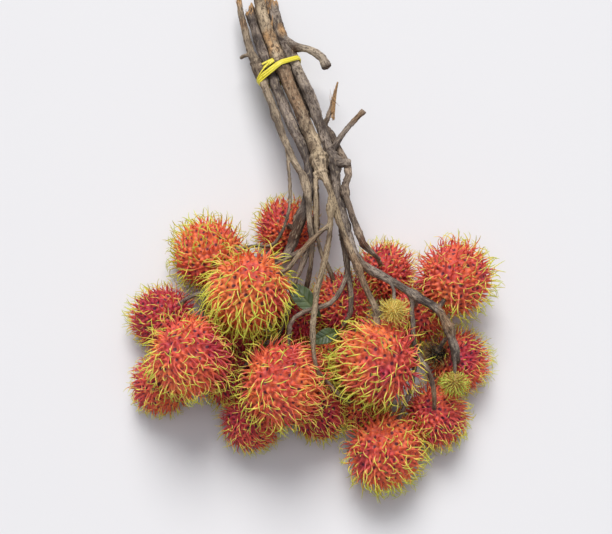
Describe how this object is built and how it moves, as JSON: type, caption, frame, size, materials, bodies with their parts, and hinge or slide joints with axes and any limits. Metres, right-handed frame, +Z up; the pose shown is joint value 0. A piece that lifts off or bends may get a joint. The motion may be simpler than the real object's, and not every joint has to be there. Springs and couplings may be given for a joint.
{
  "type": "tied bunch of rambutans",
  "caption": "Laid-down bunch of ripe hairy-skinned rambutans on woody forked stems, tied round the stems with twine, with three undersized fruits and bits of leaf.",
  "frame": {"origin": "middle of the bunch's box, on the surface that it lies on", "axes": "+Z up from the surface, +Y along the stems towards their cut ends, +X across the bunch"},
  "size_m": [0.2342, 0.3306, 0.0801],
  "materials": {
    "bark": "dull, grey-brown bark with tan peeled spots",
    "rind": "waxy red rind with soft spines that turn yellow-green at their tips",
    "unripe_rind": "dull yellow-green, covered in short soft spines",
    "withered_rind": "matt and almost black, with short curled brown spines",
    "leaf": "satin green",
    "twine": "bright lemon-yellow plastic twine"
  },
  "bodies": {
    "root": {"branch_left": "bark", "branch_thick": "bark", "branch_peeled": "bark", "branch_right": "bark", "branch_outer": "bark", "branch_back": "bark", "branch_low": "bark", "fruit_01": "rind", "fruit_02": "rind", "fruit_03": "rind", "fruit_04": "rind", "fruit_05": "rind", "fruit_06": "rind", "fruit_07": "rind", "fruit_08": "rind", "fruit_09": "rind", "fruit_10": "rind", "fruit_11": "rind", "fruit_12": "rind", "fruit_13": "rind", "fruit_14": "rind", "fruit_15": "rind", "fruit_16": "rind", "fruit_17": "rind", "fruit_18": "rind", "fruit_19": "rind", "fruit_20": "rind", "fruit_21": "rind", "fruit_22": "rind", "unripe_fruit_1": "unripe_rind", "unripe_fruit_2": "unripe_rind", "withered_fruit": "withered_rind", "leaf_1": "leaf", "leaf_2": "leaf", "twine": "twine"}
  },
  "joints": []
}
